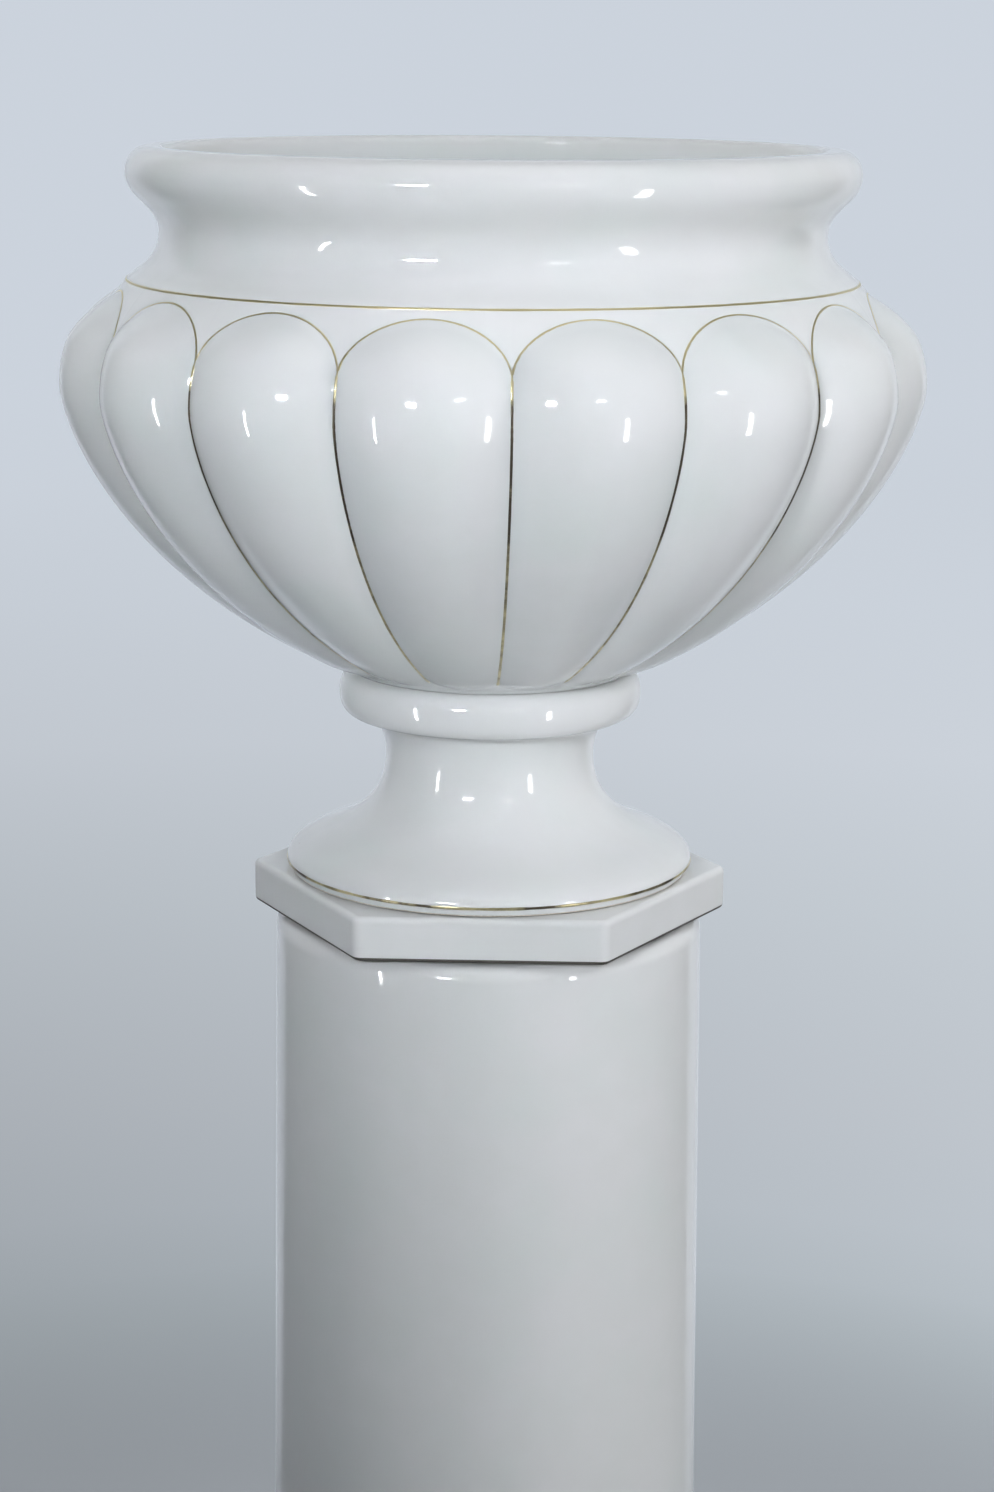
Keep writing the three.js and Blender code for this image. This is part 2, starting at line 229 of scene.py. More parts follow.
def wall_point(azimuth, run):
    """The outside of the lobed wall at an azimuth and a length along its outline."""
    radius = np.interp(run, flank_run, FLANK[:, 0])
    height = np.interp(run, flank_run, FLANK[:, 1])
    radius = radius * (1 + SWELL * fullness(across_of(azimuth), height))
    return np.stack([radius * np.cos(azimuth), radius * np.sin(azimuth), height], -1)


def inside_wall():
    """The inside's outline from the neck down to just above the floor."""
    outside = chain(FLANK[::8], HOLLOW)[::-1]
    inside = offset(outside, -BOWL_WALL)
    return inside[inside[:, 1] > FLOOR_TOP + FLOOR_ROUNDING]


def bowl():
    """The bowl's whole surface, from its underside up over the lip and down to its floor."""
    theta = np.linspace(-math.pi / 2, math.pi / 2, PER_LOBE + 1)[:-1]
    across = np.tile(np.sin(theta), LOBES)
    middles = TURN + HALF_LOBE * (2 * np.arange(LOBES) + 1)
    azimuth = np.add.outer(middles, HALF_LOBE * np.sin(theta)).ravel()
    # A lobe's outline is elliptic at both ends, so the rows of points bend with it.
    depth = np.sqrt(np.maximum(0, 1 - across**2))
    low = run_at(TONGUE_SPRING - TONGUE_HEIGHT * depth)
    high = run_at(ARCH_SPRING + ARCH_HEIGHT * depth)
    rows, pools_and_shade = [], []

    def add(points, pool_and_shade):
        rows.append(points)
        pools_and_shade.append(np.broadcast_to(pool_and_shade, azimuth.shape))

    def level(radius, height, pool_and_shade=0.0):
        x, y = radius * np.cos(azimuth), radius * np.sin(azimuth)
        add(np.stack([x, y, np.full_like(azimuth, height)], -1), pool_and_shade)

    # The underside, and the plain edge below the lobes, darker there with gathered glaze and
    # painted shade.
    for radius in (POLE_R, 30, 60, 70):
        level(radius, BOWL_BOTTOM)
    for p in straight((BOWL_BOTTOM_R, BOWL_BOTTOM), tips, 3)[:-1]:
        level(*p, SEAM_POOL_AND_SHADE)
    for t in (0.0, 0.34, 0.67):
        add(wall_point(azimuth, low * t), SEAM_POOL_AND_SHADE)
    # The lobes, darker in the creases and at both ends with gathered glaze and painted shade.
    steps = np.linspace(0, 1, 49)
    crease = np.clip((1 - depth) * 1.7 - 0.7, 0, 1)
    for t in steps - 0.09 * np.sin(2 * math.pi * steps) / (2 * math.pi):
        ends = np.exp(-((1 - t) * 14) ** 2) + np.exp(-(t * 7) ** 2)
        pool_and_shade = np.clip(crease + EDGE_POOL_AND_SHADE * ends, 0, 1)
        add(wall_point(azimuth, low + (high - low) * t), pool_and_shade)
    # The shoulder above the arches, the neck and the lip.
    for t in (0.04, 0.12, 0.25, 0.45, 0.7):
        pool_and_shade = EDGE_POOL_AND_SHADE * math.exp(-((t * 6) ** 2))
        add(wall_point(azimuth, high + (flank_run[-1] - high) * t), pool_and_shade)
    for p in CROWN:
        level(*p)
    # Just inside the lip, gathered glaze and painted shade darken the glaze most.
    for p in MOUTH:
        level(*p, MOUTH_POOL_AND_SHADE)
    # The inside follows the outside, with softer lobes.
    inside = inside_wall()
    for r, z in inside[:: max(1, len(inside) // 46)]:
        reach = np.sqrt(np.clip(1 - fullness(across, z), 0, 1))
        soft = 0.5 + 0.5 * np.cos(math.pi * reach)
        level(r * (1 + INSIDE_SWELL * soft), z)
    last_r = inside[-1, 0]
    for p in bezier((last_r, FLOOR_TOP + FLOOR_ROUNDING), (last_r - 7, FLOOR_TOP + 1.5),
                    (58, FLOOR_TOP), (50, FLOOR_TOP), 6)[1:]:
        level(*p)
    for radius in (35, 18, POLE_R):
        level(radius, FLOOR_TOP)
    obj = loft("glazed_bowl", np.array(rows), closed=False)
    attribute(obj, "pool_and_shade", np.array(pools_and_shade))
    return obj


# ---- Foot ----------------------------------------------------------------------------


def foot():
    """The foot's outline, from its seat up the outside and down the inside. Its collar's
    bead is rounder than the model's, as in the photo."""
    rim, edge, waist = (FOOT_R, FOOT_RIM), (FOOT_SHOULDER_R, FOOT_SHOULDER), (WAIST_R, WAIST)
    bead, nick, toe = (COLLAR_R, 91.6), 0.6, 0.8

    def hollow(steps):
        leaving = along(edge, 180 - FOOT_SLOPE, FOOT_HOLLOW_REACH)
        return bezier(edge, leaving, (WAIST_R, WAIST - WAIST_REACH), waist, steps)

    points = chain(
        straight((FOOT_SEAT_IN_R, nick), (FOOT_SEAT_IN_R + nick, 0)),
        straight((FOOT_SEAT_IN_R + nick, 0), (FOOT_SEAT_OUT_R - nick, 0), 2),
        arc((FOOT_SEAT_OUT_R - toe, toe), toe, toe, -90, 0, 3),
        straight((FOOT_SEAT_OUT_R, toe), (FOOT_SEAT_OUT_R + 1, FOOT_RIM - 1), 2),
        bezier(rim, (FOOT_R, FOOT_RIM + FOOT_RIM_REACH),
               along(edge, -FOOT_SLOPE, FOOT_SHOULDER_REACH), edge, 14),
        hollow(30),
        arc((WAIST_R + COVE_FLARE, WAIST), COVE_FLARE, COVE_RISE, 180, 90, 18)[:-1],
        bezier((64.8, COLLAR_BOTTOM), (73, COLLAR_BOTTOM), (COLLAR_R, 83), bead, 16),
        bezier(bead, (COLLAR_R, 100.2), (73, COLLAR_TOP), (66, COLLAR_TOP), 16),
        straight((66, COLLAR_TOP), (WAIST_R - FOOT_WALL, COLLAR_TOP), 3),
        offset(hollow(12), FOOT_WALL)[::-1],
    )
    radius, height = points.T
    # Gathered glaze and painted shade darken the crease under the bead, and painted shade darkens
    # the seat.
    pool_and_shade_under_bead = np.exp(-(((height - COLLAR_BOTTOM) / 1.6) ** 2)) * (radius > 55)
    shade_at_seat = np.exp(-((height / 2.0) ** 2))
    obj = turned("glazed_foot", points + (0.0, FOOT_BOTTOM))
    attribute(obj, "pool_and_shade", np.repeat(np.clip(pool_and_shade_under_bead + shade_at_seat, 0, 1), TURNED_SIDES))
    return obj


# ---- Slabs ---------------------------------------------------------------------------

HEXAGON_SIDES = 6
SIDE_PLACES = np.array([0.012, 0.05, 0.15, 0.3, 0.5, 0.7, 0.85, 0.95, 0.988])


def hexagon(flats, corner, inset):
    """A hexagon's outline, moved in from its edge, with points close to each bend."""
    half = math.pi / HEXAGON_SIDES
    points = []
    reach = (flats / 2 - corner) / math.cos(half)
    runs = SIDE_PLACES * 2 * reach * math.sin(half)
    for k in range(HEXAGON_SIDES):
        a = 2 * k * half
        centre = np.array([reach * math.cos(a), reach * math.sin(a)])
        for t in np.linspace(-half, half, 9):
            n = np.array([math.cos(a + t), math.sin(a + t)])
            points.append(centre + n * (corner - inset))
        n = np.array([math.cos(a + half), math.sin(a + half)])
        along_side = np.array([-n[1], n[0]])
        points.extend(centre + n * (corner - inset) + along_side * s for s in runs)
    return np.array(points)


def slab(name, flats, bottom, top, corner, edge, hole, ring=None):
    """A hexagonal slab with soft edges and a round hole, and a seat ring below it."""
    nick, crown = 0.8, 0.12  # rounding of the hole's edges, and bulge of the sides
    outline = hexagon(flats, corner, 0)
    azimuth = np.arctan2(outline[:, 1], outline[:, 0])
    circle = np.stack([np.cos(azimuth), np.sin(azimuth)], 1)
    rings = []

    def level(points, z):
        rings.append(np.concatenate([points, np.full((len(points), 1), z)], 1))

    def inset(amount):
        return hexagon(flats, corner, amount)

    under = bottom + (ring[0] if ring else 0.0)
    level(circle * (hole + nick), under)
    if ring:
        outer, inner = ring[1:]
        level(circle * (inner - 0.2), under)
        level(circle * inner, under - 0.2)
        level(circle * (inner + 0.3), bottom)
        level(circle * (outer - 0.3), bottom)
        level(circle * outer, under - 0.2)
        level(circle * (outer + 0.2), under)
    level(inset(edge + 1.5), under)
    level(inset(edge + 0.3), under)
    quarter = np.radians(np.linspace(0, 90, 7))
    for t in quarter:
        level(inset(edge * (1 - math.sin(t))), under + edge * (1 - math.cos(t)))
    level(inset(0), under + edge + 0.4)
    level(inset(-crown), (under + top) / 2)
    level(inset(0), top - edge - 0.4)
    for t in quarter:
        level(inset(edge * (1 - math.cos(t))), top - edge * (1 - math.sin(t)))
    level(inset(edge + 0.4), top)
    level(inset(edge + 2.5), top)
    level(circle * (hole + 4), top)
    level(circle * (hole + nick), top)
    level(circle * hole, top - nick)
    level(circle * hole, under + nick)
    return loft(name, np.array(rings))


# ---- Shaft ---------------------------------------------------------------------------


def shaft():
    """The column, round its outline from the inside of its foot."""
    foot_r, top_r, hole, edge = SHAFT_FOOT_R, SHAFT_TOP_R, DECK_HOLE_R, SHAFT_EDGE
    bottom, top, under = SHAFT_BOTTOM, SHAFT_TOP, SHAFT_TOP - DECK
    foot_in, top_in = foot_r - SHAFT_WALL, top_r - SHAFT_WALL
    nick, toe, hole_edge, fillet = 0.6, 1.2, 1.0, 5.0
    points = chain(
        straight((foot_in, bottom + nick), (foot_in + nick, bottom)),
        straight((foot_in + nick, bottom), (foot_r - toe, bottom), 2),
        arc((foot_r - toe, bottom + toe), toe, toe, -90, 0, 4),
        straight((foot_r, bottom + toe), (top_r, top - edge), 40),
        arc((top_r - edge, top - edge), edge, edge, 0, 90, 10),
        straight((top_r - edge, top), (hole + hole_edge, top), 6),
        arc((hole + hole_edge, top - hole_edge), hole_edge, hole_edge, 90, 180, 3),
        straight((hole, top - hole_edge), (hole, under), 2),
        straight((hole, under), (top_in - fillet, under), 4),
        arc((top_in - fillet, under - fillet), fillet, fillet, 90, 0, 4),
        straight((top_in, under - fillet), (foot_in, bottom + nick), 12),
    )[:-1]
    return turned("glazed_column", points)


# ---- Gilding -------------------------------------------------------------------------

# Half widths of the lines and how far they stand out. A valley line also has VALLEY_FILL,
# because it fills the crease, which is deepest where the wall stands upright.
LINE_HALF, LINE_PROUD = 0.72, 0.14
VALLEY_HALF, VALLEY_PROUD, VALLEY_FILL = 1.1, 0.12, 0.46
# A line's section: places across it and heights, as shares of its half width and height.
LINE_SECTION = np.array([(-1.0, -0.9), (-0.85, 0.25), (-0.4, 0.85), (0.0, 1.0), (0.4, 0.85),
                         (0.85, 0.25), (1.0, -0.9)])
# Painted dark reflection on the valley lines by height, where they mirror the dark room in front:
# none at the arches, most below them, less at the tips.
VALLEY_HEIGHTS, VALLEY_DARKENING = (800, 870, 895, 943, 952), (0.55, 0.7, 1.0, 1.0, 0.0)
BRUSH_WAVES = np.array([31.0, 13.0])  # about how long the waves in a line's width are


def unit_rows(vectors):
    return vectors / np.linalg.norm(vectors, axis=1)[:, None]


def ribbon(name, paths):
    """Painted lines: each path is (points, normals, painted dark reflection and wear, half width,
    height, closed), and becomes a thin low-domed band that lies on the glaze."""
    verts, faces, gold_darkening = [], [], []
    m = len(LINE_SECTION)
    for points, normals, dark_reflection_and_wear, half_width, proud, closed in paths:
        n, start = len(points), len(verts)
        if closed:
            tangent = unit_rows(np.roll(points, -1, 0) - np.roll(points, 1, 0))
        else:
            tangent = unit_rows(np.gradient(points, axis=0))
        normals = unit_rows(normals - tangent * (normals * tangent).sum(1)[:, None])
        side = np.cross(tangent, normals)
        # The brush's width wavers along the line, and its ends taper.
        s = lengths_along(points)
        turns = 2 * math.pi * np.round(s[-1] / BRUSH_WAVES) / s[-1]
        width = 1 + 0.08 * np.sin(s * turns[0] + start) + 0.05 * np.sin(s * turns[1] + 1.7)
        height = np.broadcast_to(proud, n)
        if not closed:
            taper = np.clip(np.minimum(s, s[-1] - s) / 3.0 + 0.25, 0, 1)
            width, height = width * taper, height * taper
        for i in range(n):
            for u, h in LINE_SECTION:
                across = side[i] * u * half_width * width[i]
                verts.append(points[i] + across + normals[i] * h * height[i])
                gold_darkening.append(dark_reflection_and_wear[i])
        for i in range(n if closed else n - 1):
            a, b = start + i * m, start + ((i + 1) % n) * m
            for j in range(m):
                k = (j + 1) % m
                faces.append((a + j, a + k, b + k, b + j))
        if not closed:
            faces.append(tuple(start + j for j in range(m))[::-1])
            faces.append(tuple(start + (n - 1) * m + j for j in range(m)))
    obj = make(name, verts, faces)
    attribute(obj, "dark_reflection_and_wear", gold_darkening)
    return obj


def surface_normal(azimuth, run, reach=2.0):
    """The wall's outward normal, smoothed over a small reach so that it crosses a crease."""
    turn = reach / np.interp(run, flank_run, FLANK[:, 0])
    du = wall_point(azimuth + turn, run) - wall_point(azimuth - turn, run)
    dv = wall_point(azimuth, run + reach) - wall_point(azimuth, run - reach)
    return unit_rows(np.cross(du, dv))


def valley_line(k):
    """The line in the crease before lobe k, up to where the arches part."""
    run = np.linspace(run_at(TONGUE_SPRING - 3.0), run_at(ARCH_SPRING + 2.0), 70)
    azimuth = np.full_like(run, TURN + 2 * HALF_LOBE * k)
    points, normals = wall_point(azimuth, run), surface_normal(azimuth, run)
    dark_reflection_and_wear = np.interp(points[:, 2], VALLEY_HEIGHTS, VALLEY_DARKENING)
    proud = VALLEY_PROUD + VALLEY_FILL * np.hypot(normals[:, 0], normals[:, 1])
    return points, normals, dark_reflection_and_wear, VALLEY_HALF, proud, False


def arch_line(k):
    """The line over lobe k."""
    t = np.linspace(0, math.pi, 64)
    azimuth = TURN + HALF_LOBE * (2 * k + 1) - HALF_LOBE * np.cos(t)
    run = run_at(ARCH_SPRING + ARCH_HEIGHT * np.sin(t))
    points, normals = wall_point(azimuth, run), surface_normal(azimuth, run)
    return points, normals, np.zeros_like(t), LINE_HALF, LINE_PROUD, False


def lobe_lines():
    return ribbon("lobe_gilding", [f(k) for k in range(LOBES) for f in (valley_line, arch_line)])


def ring_line(name, radius, height, outward, dark_reflection_and_wear=0.0):
    """A line round the axis, whose normals rise by outward degrees. Its painted dark reflection
    and wear come and go in long stretches."""
    a = np.linspace(0, 2 * math.pi, 320, endpoint=False)
    gold_darkening = dark_reflection_and_wear * (1 + 0.45 * np.sin(9 * a + 0.6) + 0.25 * np.sin(23 * a))
    up, out = math.sin(math.radians(outward)), math.cos(math.radians(outward))
    points = np.stack([radius * np.cos(a), radius * np.sin(a), np.full_like(a, height)], 1)
    normals = np.stack([out * np.cos(a), out * np.sin(a), np.full_like(a, up)], 1)
    return ribbon(name, [(points, normals, gold_darkening, LINE_HALF, LINE_PROUD, True)])


# ---- Nodes ---------------------------------------------------------------------------


def plug(tree, value, socket):
    """Links a socket, or sets a number, a colour or a vector."""
    if isinstance(value, bpy.types.NodeSocket):
        tree.links.new(value, socket)
    elif isinstance(value, tuple) and socket.type == "RGBA":
        socket.default_value = (*value, 1.0)
    else:
        socket.default_value = value


def material(name):
    m = bpy.data.materials.new(name)
    m.use_nodes = True
    tree = m.node_tree
    shader = next(n for n in tree.nodes if n.type == "BSDF_PRINCIPLED")
    return m, tree, shader


def places(tree, kind="Object"):
    return tree.nodes.new("ShaderNodeTexCoord").outputs[kind]


def painted(tree, name):
    """A value that the mesh holds at each of its points."""
    n = tree.nodes.new("ShaderNodeAttribute")
    n.attribute_name = name
    return n.outputs["Fac"]


def noise(tree, coordinates, scale, detail=2.0, roughness=0.5):
    n = tree.nodes.new("ShaderNodeTexNoise")
    n.inputs["Scale"].default_value = scale
    n.inputs["Detail"].default_value = detail
    n.inputs["Roughness"].default_value = roughness
    tree.links.new(coordinates, n.inputs["Vector"])
    return n.outputs["Fac"]


def ramp(tree, value, low, high, to_low=0.0, to_high=1.0):
    n = tree.nodes.new("ShaderNodeMapRange")
    n.clamp = True
    n.inputs["From Min"].default_value = low
    n.inputs["From Max"].default_value = high
    n.inputs["To Min"].default_value = to_low
    n.inputs["To Max"].default_value = to_high
    tree.links.new(value, n.inputs["Value"])
    return n.outputs["Result"]


def blend(tree, share, a, b):
    """A colour between two others, each a socket or three numbers."""
    n = tree.nodes.new("ShaderNodeMix")
    n.data_type = "RGBA"
    sockets = [s for s in n.inputs if s.enabled]
    for value, socket in zip((share, a, b), sockets):
        plug(tree, value, socket)
    return next(s for s in n.outputs if s.enabled)


def bump(tree, height, distance, under=None):
    n = tree.nodes.new("ShaderNodeBump")
    n.inputs["Strength"].default_value = 1.0
    n.inputs["Distance"].default_value = distance
    tree.links.new(height, n.inputs["Height"])
    if under is not None:
        tree.links.new(under, n.inputs["Normal"])
    return n.outputs["Normal"]


def combined(tree, operation, values):
    """Sockets and numbers, one after the other."""
    result = values[0]
    for value in values[1:]:
        n = tree.nodes.new("ShaderNodeMath")
        n.operation = operation
        plug(tree, result, n.inputs[0])
        plug(tree, value, n.inputs[1])
        result = n.outputs[0]
    return result


def times(tree, *values):
    return combined(tree, "MULTIPLY", values)


def plus(tree, *values):
    return combined(tree, "ADD", values)


def largest(tree, *values):
    return combined(tree, "MAXIMUM", values)


def vector(tree, operation, a, b=None, scale=None):
    """The result of a vector operation, as its node."""
    n = tree.nodes.new("ShaderNodeVectorMath")
    n.operation = operation
    plug(tree, a, n.inputs[0])
    if b is not None:
        plug(tree, b, n.inputs[1])
    if scale is not None:
        plug(tree, scale, n.inputs["Scale"])
    return n


def parts(tree, value):
    """The x, y and z of a vector."""
    n = tree.nodes.new("ShaderNodeSeparateXYZ")
    tree.links.new(value, n.inputs[0])
    return n.outputs


# ---- Materials -----------------------------------------------------------------------

GLAZE_PALE, GLAZE_GREY = (0.835, 0.84, 0.835), (0.805, 0.815, 0.81)
GLAZE_GREEN, GLAZE_MOTTLE = (0.77, 0.815, 0.79), (0.79, 0.80, 0.785)
GLAZE_DEEP_AND_SHADED, GLAZE_SPECK = (0.66, 0.70, 0.69), (0.42, 0.38, 0.33)
GLAZE_IOR = 1.52
GOLD_PALE, GOLD_DARK, GOLD_TARNISH_AND_DARK_REFLECTION = (0.80, 0.71, 0.42), (0.66, 0.585, 0.33), (0.085, 0.07, 0.045)
CLAY_LIGHT, CLAY_DARK, CLAY_PIT = (0.72, 0.67, 0.58), (0.64, 0.58, 0.49), (0.55, 0.50, 0.42)


def glaze_material():
    """White glaze with faint clouds, darker where it gathers and where shade is painted, and not
    quite level.
    """
    m, tree, shader = material("white_glaze")
    where = places(tree)
    cloud = ramp(tree, noise(tree, where, 7.0, 3.0), 0.3, 0.7)
    colour = blend(tree, cloud, GLAZE_PALE, GLAZE_GREY)
    tint = ramp(tree, noise(tree, where, 19.0, 2.0), 0.45, 0.75, 0.0, 0.7)
    colour = blend(tree, tint, colour, GLAZE_GREEN)
    mottle = ramp(tree, noise(tree, where, 60.0, 3.0), 0.35, 0.65)
    colour = blend(tree, times(tree, mottle, 0.35), colour, GLAZE_MOTTLE)
    # Darker where glaze gathers and where the mesh holds painted shade.
    deep_and_shaded = ramp(tree, painted(tree, "pool_and_shade"), 0.0, 1.0, 0.0, 0.55)
    colour = blend(tree, deep_and_shaded, colour, GLAZE_DEEP_AND_SHADED)
    # Rare pinholes and iron specks in the glaze.
    speck = tree.nodes.new("ShaderNodeTexVoronoi")
    speck.inputs["Scale"].default_value = 34.0
    tree.links.new(where, speck.inputs["Vector"])
    dot = ramp(tree, speck.outputs["Distance"], 0.012, 0.03, 1.0, 0.0)
    chosen = ramp(tree, noise(tree, where, 21.0, 0.0), 0.60, 0.62)
    faint = ramp(tree, times(tree, dot, chosen), 0.0, 1.0, 0.0, 0.5)
    colour = blend(tree, faint, colour, GLAZE_SPECK)
    tree.links.new(colour, shader.inputs["Base Color"])
    rough = ramp(tree, noise(tree, where, 26.0, 2.0), 0.3, 0.7, 0.045, 0.085)
    tree.links.new(rough, shader.inputs["Roughness"])
    shader.inputs["IOR"].default_value = GLAZE_IOR
    waves = bump(tree, noise(tree, where, 38.0, 1.0), 0.00022)
    peel = bump(tree, noise(tree, where, 190.0, 2.0), 0.000022, under=waves)
    tree.links.new(peel, shader.inputs["Normal"])
    return m


def gold_material():
    """Pale gold, dark where it is worn and where dark reflection is painted."""
    m, tree, shader = material("gold_lustre")
    where = places(tree)
    tint = ramp(tree, noise(tree, where, 34.0, 3.0), 0.3, 0.7)
    colour = blend(tree, tint, GOLD_PALE, GOLD_DARK)
    # Random wear, and the painted dark reflection that each line holds.
    gold_darkening = plus(tree, noise(tree, where, 120.0, 4.0, 0.6), painted(tree, "dark_reflection_and_wear"))
    tarnish_and_dark_reflection = ramp(tree, gold_darkening, 0.85, 1.4)
    colour = blend(tree, tarnish_and_dark_reflection, colour, GOLD_TARNISH_AND_DARK_REFLECTION)
    tree.links.new(colour, shader.inputs["Base Color"])
    tree.links.new(ramp(tree, tarnish_and_dark_reflection, 0.0, 1.0, 0.78, 0.6), shader.inputs["Metallic"])
    rough = ramp(tree, noise(tree, where, 60.0, 2.0), 0.3, 0.7, 0.29, 0.33)
    tree.links.new(rough, shader.inputs["Roughness"])
    tree.links.new(bump(tree, noise(tree, where, 500.0, 2.0), 0.000008), shader.inputs["Normal"])
    return m


def bisque_material(name, shade):
    """Bare fired clay, darker with a lower shade; at a very low shade it is painted shade for a
    joint.
    """
    m, tree, shader = material(name)
    where = places(tree)
    light, dark, pit = (
        tuple(c * shade for c in colour) for colour in (CLAY_LIGHT, CLAY_DARK, CLAY_PIT)
    )
    cloud = ramp(tree, noise(tree, where, 30.0, 4.0), 0.3, 0.7)
    grain = ramp(tree, noise(tree, where, 900.0, 2.0), 0.35, 0.6)
    colour = blend(tree, grain, pit, blend(tree, cloud, light, dark))
    tree.links.new(colour, shader.inputs["Base Color"])
    rough = ramp(tree, noise(tree, where, 200.0, 2.0), 0.3, 0.7, 0.75, 0.92)
    tree.links.new(rough, shader.inputs["Roughness"])
    tree.links.new(bump(tree, noise(tree, where, 700.0, 3.0), 0.00008), shader.inputs["Normal"])
    return m


GLAZE, GOLD = glaze_material(), gold_material()
# The dark clay is painted shade for the gap between the plinth and the column.
BISQUE, JOINT_SHADE = bisque_material("bisque", 1.0), bisque_material("painted_seat_shade", 0.16)


def finish_piece(obj, body, slot_name, *nodes, bare=None, shaded=None):
    """Gives a piece its materials and its body, and hides the solids that it stands for. The two
    tests say of each face, from its centre in millimetres and its normal, whether it is unglazed
    and whether it is painted dark as the shade in a joint."""
    obj.data.materials.append(GOLD if slot_name == "gold_lustre" else GLAZE)
    for test, other in ((bare, BISQUE), (shaded, JOINT_SHADE)):
        if test is not None:
            obj.data.materials.append(other)
            for face in obj.data.polygons:
                if test(Vector(face.center) / MM, face.normal):
                    face.material_index = len(obj.data.materials) - 1
    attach(obj, body)
    if nodes:
        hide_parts(*nodes)


# ---- Pieces --------------------------------------------------------------------------

JOINT_R = 60  # the bowl and the foot are bare within this radius, where they were luted


def radius_of(p):
    return math.hypot(p.x, p.y)


def faces_axis(p, n):
    return n.x * p.x + n.y * p.y < 0


def bowl_bare(p, n):
    return p.z < BOWL_BOTTOM + 0.5 and radius_of(p) < JOINT_R


def foot_bare(p, n):
    seat = p.z < FOOT_BOTTOM + 0.7
    joint = p.z > FOOT_BOTTOM + COLLAR_TOP - 0.3 and radius_of(p) < JOINT_R
    inside = p.z < FOOT_BOTTOM + 62 and faces_axis(p, n) and n.z < 0.2
    return seat or joint or inside


def plinth_bare(p, n):
    return p.z < PLINTH_BOTTOM + 1.2


def plinth_shaded(p, n):
    """The rounded lower edge, outside the seat ring, painted dark as the shade in the gap over the
    column.
    """
    return n.z < -0.3 and p.z < PLINTH_BOTTOM + 4 and radius_of(p) > SEAT_RING_OUT_R + 1


def column_bare(p, n):
    return p.z < SHAFT_BOTTOM + 0.9 or (faces_axis(p, n) and p.z < SHAFT_TOP - 3)


def base_bare(p, n):
    return n.z < -0.9 or radius_of(p) < BASE_HOLE_R + 1


finish_piece(bowl(), "jardiniere", "white_glaze", "bowl", bare=bowl_bare)
finish_piece(foot(), "jardiniere", "white_glaze", "foot_stem", bare=foot_bare)
# The plinth's rounded lower edge is painted dark as the shade in its gap over the column.
finish_piece(slab("glazed_plinth", PLINTH_FLATS, PLINTH_BOTTOM, PLINTH_TOP, PLINTH_CORNER,
                  PLINTH_EDGE, PLINTH_HOLE_R, (SEAT_RING_HEIGHT, SEAT_RING_OUT_R, SEAT_RING_IN_R)),
             "jardiniere", "white_glaze", "hex_plinth", bare=plinth_bare, shaded=plinth_shaded)
finish_piece(shaft(), "stand", "white_glaze", "column_shaft", bare=column_bare)
finish_piece(slab("glazed_base", BASE_FLATS, 0.0, BASE_TOP, BASE_CORNER, BASE_EDGE, BASE_HOLE_R),
             "stand", "white_glaze", "column_base", bare=base_bare)
finish_piece(ring_line("shoulder_gilding", SHOULDER_R, SHOULDER, 90 - SHOULDER_LEAN),
             "jardiniere", "gold_lustre", "shoulder_gold_line")
# The foot's line is painted dark as the reflection of the dark room, with some wear.
finish_piece(ring_line("foot_gilding", FOOT_R, FOOT_BOTTOM + FOOT_RIM, 0, dark_reflection_and_wear=0.62),
             "jardiniere", "gold_lustre", "foot_gold_line")
finish_piece(lobe_lines(), "jardiniere", "gold_lustre")

# ---- Floor ---------------------------------------------------------------------------

BACKDROP = (0.60, 0.65, 0.72)
# Where the wall behind the object ends, as the part of a direction that is along +Y.
WALL_EDGE = (0.722, 0.748)
# The floor's glowing look at distances in metres from the object's axis, darker near the object
# with painted shade.
FLOOR_TONES = (
    (0.70, (0.305, 0.337, 0.371)),
    (1.00, (0.386, 0.429, 0.462)),
    (1.25, (0.440, 0.479, 0.521)),
    (1.55, (0.468, 0.503, 0.546)),
    (2.30, (0.515, 0.558, 0.604)),
    (3.20, (0.570, 0.612, 0.668)),
    (4.50, (0.584, 0.631, 0.694)),
    (8.00, BACKDROP),
)
FLOOR_RINGS = (0.5, 1.0, 2.0, 4.0, 8.0, 16.0, 60.0)
FLOOR_SIDES = 96
# The paint near the object: for the camera, and darker for what it gives back to the glaze.
PAINT_SEEN, PAINT_SEEN_PATCH = (0.70, 0.735, 0.77), (0.66, 0.695, 0.73)
PAINT, PAINT_PATCH = (0.52, 0.55, 0.575), (0.48, 0.51, 0.535)


def sees_backdrop(tree, *stands):
    """1 for the camera, and for mirrors and glass where the backdrop stands."""
    path = tree.nodes.new("ShaderNodeLightPath")
    mirrored = times(tree, path.outputs["Is Glossy Ray"], *stands)
    through = times(tree, path.outputs["Is Transmission Ray"], *stands)
    return largest(tree, path.outputs["Is Camera Ray"], mirrored, through)


def floor_tone(tree, away, right):
    """The floor's glowing tone by its distance, with painted shade that darkens it near the
    object.
    The daylight comes from the right, so the near floor is also painted darker to the left."""
    furthest = FLOOR_TONES[-1][0]
    tones = tree.nodes.new("ShaderNodeValToRGB")
    stops = tones.color_ramp.elements
    while len(stops) < len(FLOOR_TONES):
        stops.new(0.5)
    for stop, (metres, rgb) in zip(stops, FLOOR_TONES):
        stop.position, stop.color = metres / furthest, (*rgb, 1.0)
    tree.links.new(ramp(tree, away, 0.0, furthest), tones.inputs["Fac"])
    slant = times(tree, ramp(tree, right, -0.6, 0.6, -0.24, 0.24),
                  ramp(tree, away, 1.2, 6.0, 1.0, 0.0))
    return vector(tree, "SCALE", tones.outputs["Color"], scale=plus(tree, slant, 1.0)).outputs[0]


